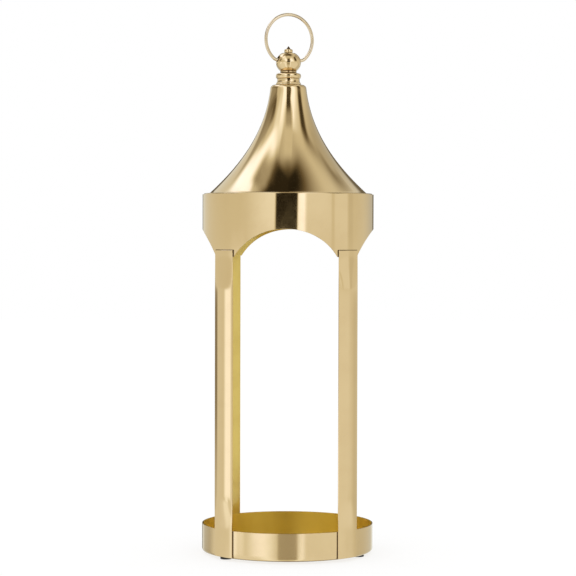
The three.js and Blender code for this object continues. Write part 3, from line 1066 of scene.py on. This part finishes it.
# %% The boards, from the back of the stack to the front
# name: (level, from, to, low, high, soft from, soft to, soft low, soft high, lean)
boards = {
    "ceiling": (0.01, -400, 400, 70.7, 200, 1, 1, 13.6, 1, 0),
    "ceiling over the front": (0.62, -94.3, -3.3, 48.1, 81.3, 25, 23.9, 8.7, 14, -0.59),
    "ceiling over the left": (0.03, -156.9, -1.5, 59.5, 200, 8.2, 13, 5.1, 1, 0.69),
    "top": (0.03, -400, 400, 84.3, 200, 1, 1, 13.7, 1, 0),
    "left glow low": (1, -45.1, -16.9, -4.7, 22.8, 24.6, 0.4, 2.1, 7.4, -1.49),
    "left glow": (1.02, -25, 32.5, 18.3, 66.2, 9.1, 6.8, 11.5, 14, 1.12),
    "left scrim": (1.44, -137.3, -59.7, 45.3, 65, 1.9, 16.5, 4.3, 9, -0.07),
    "left scrim edge": (0.46, -130.8, -91.6, 55.6, 72.2, 4.4, 19.6, 4.8, 3.4, -0.16),
    "left board": (0.27, -131.1, -71.2, 11.2, 35, 6.2, 6.5, 3.1, 5.2, 0.18),
    "left board core": (0.14, -106.2, -69.8, 20, 31.8, 10.1, 7.5, 1.6, 6.3, 0.1),
    "left bright": (1.41, -19.7, 4.9, 12.1, 44.2, 5.5, 10.7, 6, 13.6, 0.54),
    "right glow": (1.07, 26.5, 73.6, 1.8, 52.4, 0.7, 25, 13.8, 5, 0.67),
    "right bright": (1.41, 20.7, 48.7, 10.6, 34.4, 6.1, 8.1, 6, 14, 0.24),
    "right strip": (1.4, 13.5, 25.2, -7, 42.1, 5.7, 2.9, 3.3, 8.3, -0.21),
    "right board": (0.07, 58.9, 84.8, 10.8, 47.7, 7.6, 7.3, 10.8, 7.4, -0.14),
    "right far board": (0.03, 136.2, 161.9, 31.7, 44.5, 17.3, 7.5, 1.2, 10.2, 0.44),
    "left board tail": (0.43, -112.7, -71.1, 26, 42.5, 6.2, 8.8, 8.7, 1.6, 0.82),
    "left scrim glow": (1.59, -153.5, -125.4, 37.8, 52.6, 13.7, 22.4, 4.8, 7.9, -0.24),
    "right board tail": (0.02, 75.6, 116.2, 43.3, 49, 8.6, 24.4, 6.5, 13.4, 0.03),
    "right low": (0.52, 140.7, 185.6, -11.3, 40.6, 23, 5.6, 7.3, 3.9, 1.14),
    "left low": (0.39, -143.9, -87.4, 10, 16.5, 4.4, 4.2, 2.5, 1.1, -0.23),
    "ceiling left ring": (0.27, -130, -68.2, 60.3, 60.9, 10, 5.1, 2, 11.8, 0.64),
    "front wall": (0.74, -15.4, 29.2, 33, 74, 13.5, 0.6, 7.9, 5.4, 0.11),
    "front wall low": (0.46, -11.2, 17.9, 27.4, 50, 6.4, 0.4, 4.4, 4.6, -0.01),
    "front board high": (0.07, -10.9, 10.8, 12.7, 36.3, 2.3, 2.4, 6.1, 5.8, -0.08),
    "front board": (0.28, -15.2, -6.6, -9, 19.5, 0.7, 1.9, 5.3, 8.9, -0.51),
    "front board side": (0.11, 23.4, 30.9, 15.6, 25, 0.8, 3.5, 3, 4.9, 0.57),
    "front board low": (0.02, -14.6, 13.7, -7, 13, 0.3, 1.2, 1.8, 3, -0.9),
    "band step": (0.86, 68, 88.5, -0.8, 6, 1.5, 1, 0.3, 1, 0),
    "band step dip left": (0.76, 62, 66.5, -0.8, 6, 1.2, 1, 0.3, 1, 0),
    "band step dip right": (0.69, 91, 99, -0.8, 6, 1, 2.5, 0.3, 1, 0),
    "table": (0.79, -400, 400, -100, -0.4, 1, 1, 1, 0.5, 0),
    "table left far": (0.5, -153.2, -121.8, -100, -7.2, 9.2, 7.6, 1, 2.1, 0),
    "table left": (1.43, -47.9, -22.6, -100, -4.6, 8.9, 15.6, 1, 1.9, 0),
    "table right": (1.31, 17.9, 25.4, -100, -4.5, 4.9, 2.4, 1, 1.5, 0),
    "table front": (0.43, -10.8, 15, -100, -4.5, 1.6, 1, 1, 1.5, 0),
    "table sides": (0.9, -96.7, -29.1, -100, -8.7, 17.8, 12.9, 1, 1.9, 0),
    "table right far": (0.64, 83.3, 158, -100, -6.9, 5.2, 2, 1, 0.6, 0),
    "table far": (0.88, 23.3, 106.2, -100, -6.4, 10.5, 10.8, 1, 5.4, 0),
    "leg light left": (1.24, -81.2, -59.1, -7.5, -0.7, 6, 3.1, 0.6, 0.5, 0),
    "leg light left middle": (1.15, -79, -69.5, -9, -7.4, 4, 2, 0.5, 0.4, 0),
    "leg light left low": (1.06, -86.5, -71, -13, -9, 5, 3, 1, 0.8, 0),
    "leg shade left": (0.29, -175, -115.4, -6.1, -1.1, 4, 0.3, 2.2, 0.9, 0),
    "leg right": (0.87, 50.8, 88.3, -6.7, -1.3, 4.3, 7.7, 2.1, 1.1, 0),
    "leg right edge": (0.67, 104.5, 129.2, -10.3, -1.5, 13.3, 19, 1.3, 0.5, 0),
    "front floor": (0.72, -14, 16, -100, -30, 3, 3, 8, 8, 0),
    "floor behind left": (0.05, -200, -148, -85, -38, 5, 5, 5, 5, 0),
    "floor behind right": (0.05, 148, 200, -85, -38, 5, 5, 5, 5, 0),
    "edge flag left": (0.14, -186, -163, -20, 40, 3, 2, 1, 4, 0),
    "edge flag right": (0.16, 161, 186, -4, 40, 4, 1, 1.5, 4, 0),
}
print("boards in the studio:", len(boards))


# %% Build the world
BASE_LEVEL = 0.75
BRIGHTEST = 2.0
# level: (red, green, blue) at that level
tints = {
    0.0: (0.0, 0.0, 0.0), 0.15: (0.15, 0.119, 0.07), 0.38: (0.38, 0.348, 0.27),
    0.75: (0.75, 0.735, 0.635), 1.12: (1.12, 1.19, 1.28), 1.5: (1.5, 1.58, 2.0),
}


def make_world():
    world = bpy.data.worlds.new("studio")
    world.use_nodes = True
    world.cycles.sampling_method = "NONE"
    tree = world.node_tree
    tree.nodes.clear()
    way = node(tree, "ShaderNodeTexCoord").outputs["Generated"]
    parts = node(tree, "ShaderNodeSeparateXYZ", {"Vector": way}).outputs
    turn = maths(tree, "ARCTAN2", parts["X"], maths(tree, "MULTIPLY", parts["Y"], -1.0))
    azimuth = maths(tree, "DEGREES", turn)
    elevation = maths(tree, "DEGREES", maths(tree, "ARCSINE", parts["Z"]))
    level = BASE_LEVEL
    for title, (bright, *sides) in boards.items():
        inputs = {"Azimuth": azimuth, "Elevation": elevation, **dict(zip(BOARD_SIDES, sides))}
        mask = node(tree, "ShaderNodeGroup", inputs, node_tree=board_mask, label=title).outputs[0]
        level = node(tree, "ShaderNodeMix", {"Factor": mask, "A": level, "B": bright}).outputs["Result"]
    tint = node(tree, "ShaderNodeValToRGB", {"Fac": maths(tree, "MULTIPLY", level, 1 / BRIGHTEST)})
    stops = tint.color_ramp.elements
    while len(stops) < len(tints):
        stops.new(0.5)
    for stop, (bright, colour) in zip(stops, tints.items()):
        stop.position = bright / BRIGHTEST
        stop.color = (*(part / BRIGHTEST for part in colour), 1)
    mirrored = node(tree, "ShaderNodeBackground", {"Color": tint.outputs["Color"], "Strength": BRIGHTEST})
    plain = node(tree, "ShaderNodeBackground", {"Color": (1, 1, 1, 1)})
    glossy = node(tree, "ShaderNodeLightPath").outputs["Is Glossy Ray"]
    choice = node(tree, "ShaderNodeMixShader", {0: glossy, 1: plain.outputs[0], 2: mirrored.outputs[0]})
    node(tree, "ShaderNodeOutputWorld", {"Surface": choice.outputs[0]})
    return world


bpy.context.scene.world = make_world()
print("the studio has", len(bpy.context.scene.world.node_tree.nodes), "nodes")

# %% [markdown]
# ## The table and the camera
#
# The table is a large pale plane. It keeps a faint shadow of the lantern and otherwise runs
# into the white behind it. The camera stands a little over two metres away, a touch to the
# right, and looks slightly down through a long lens.

# %% The table
def make_table():
    mesh = bmesh.new()
    bmesh.ops.create_grid(mesh, x_segments=2, y_segments=2, size=6)
    table = finished(mesh, "table")
    grey, glow = 0.25, 0.77
    material, tree, shader = new_finish("pale table")
    seen = node(tree, "ShaderNodeLightPath").outputs["Is Camera Ray"]
    fill(tree, shader, {
        "Base Color": (grey, grey, grey, 1), "Roughness": 0.9, "Specular IOR Level": 0.0,
        "Emission Color": (1, 1, 1, 1), "Emission Strength": maths(tree, "MULTIPLY", seen, glow),
    })
    table.data.materials.append(material)
    table.visible_glossy = False
    return table


print("stage:", make_table().name)


# %% The camera
def make_camera():
    distance, height, aside = 2.191, 0.3267, -0.1 * MM
    heading, down, roll = math.radians(1.8), math.radians(1.402), math.radians(0.14)
    data = bpy.data.cameras.new("camera")
    data.lens = 132.8
    data.sensor_width = 36
    camera = bpy.data.objects.new("camera", data)
    bpy.context.scene.collection.objects.link(camera)
    place = Vector((distance * math.sin(heading), -distance * math.cos(heading), height))
    look = Matrix.Rotation(heading + aside / distance, 4, "Z") @ Matrix.Rotation(math.pi / 2 - down, 4, "X")
    camera.matrix_world = Matrix.Translation(place) @ look @ Matrix.Rotation(roll, 4, "Z")
    return camera


bpy.context.scene.camera = make_camera()
bpy.context.scene.view_settings.view_transform = "Standard"
print("the lens is %.1f mm" % bpy.context.scene.camera.data.lens)
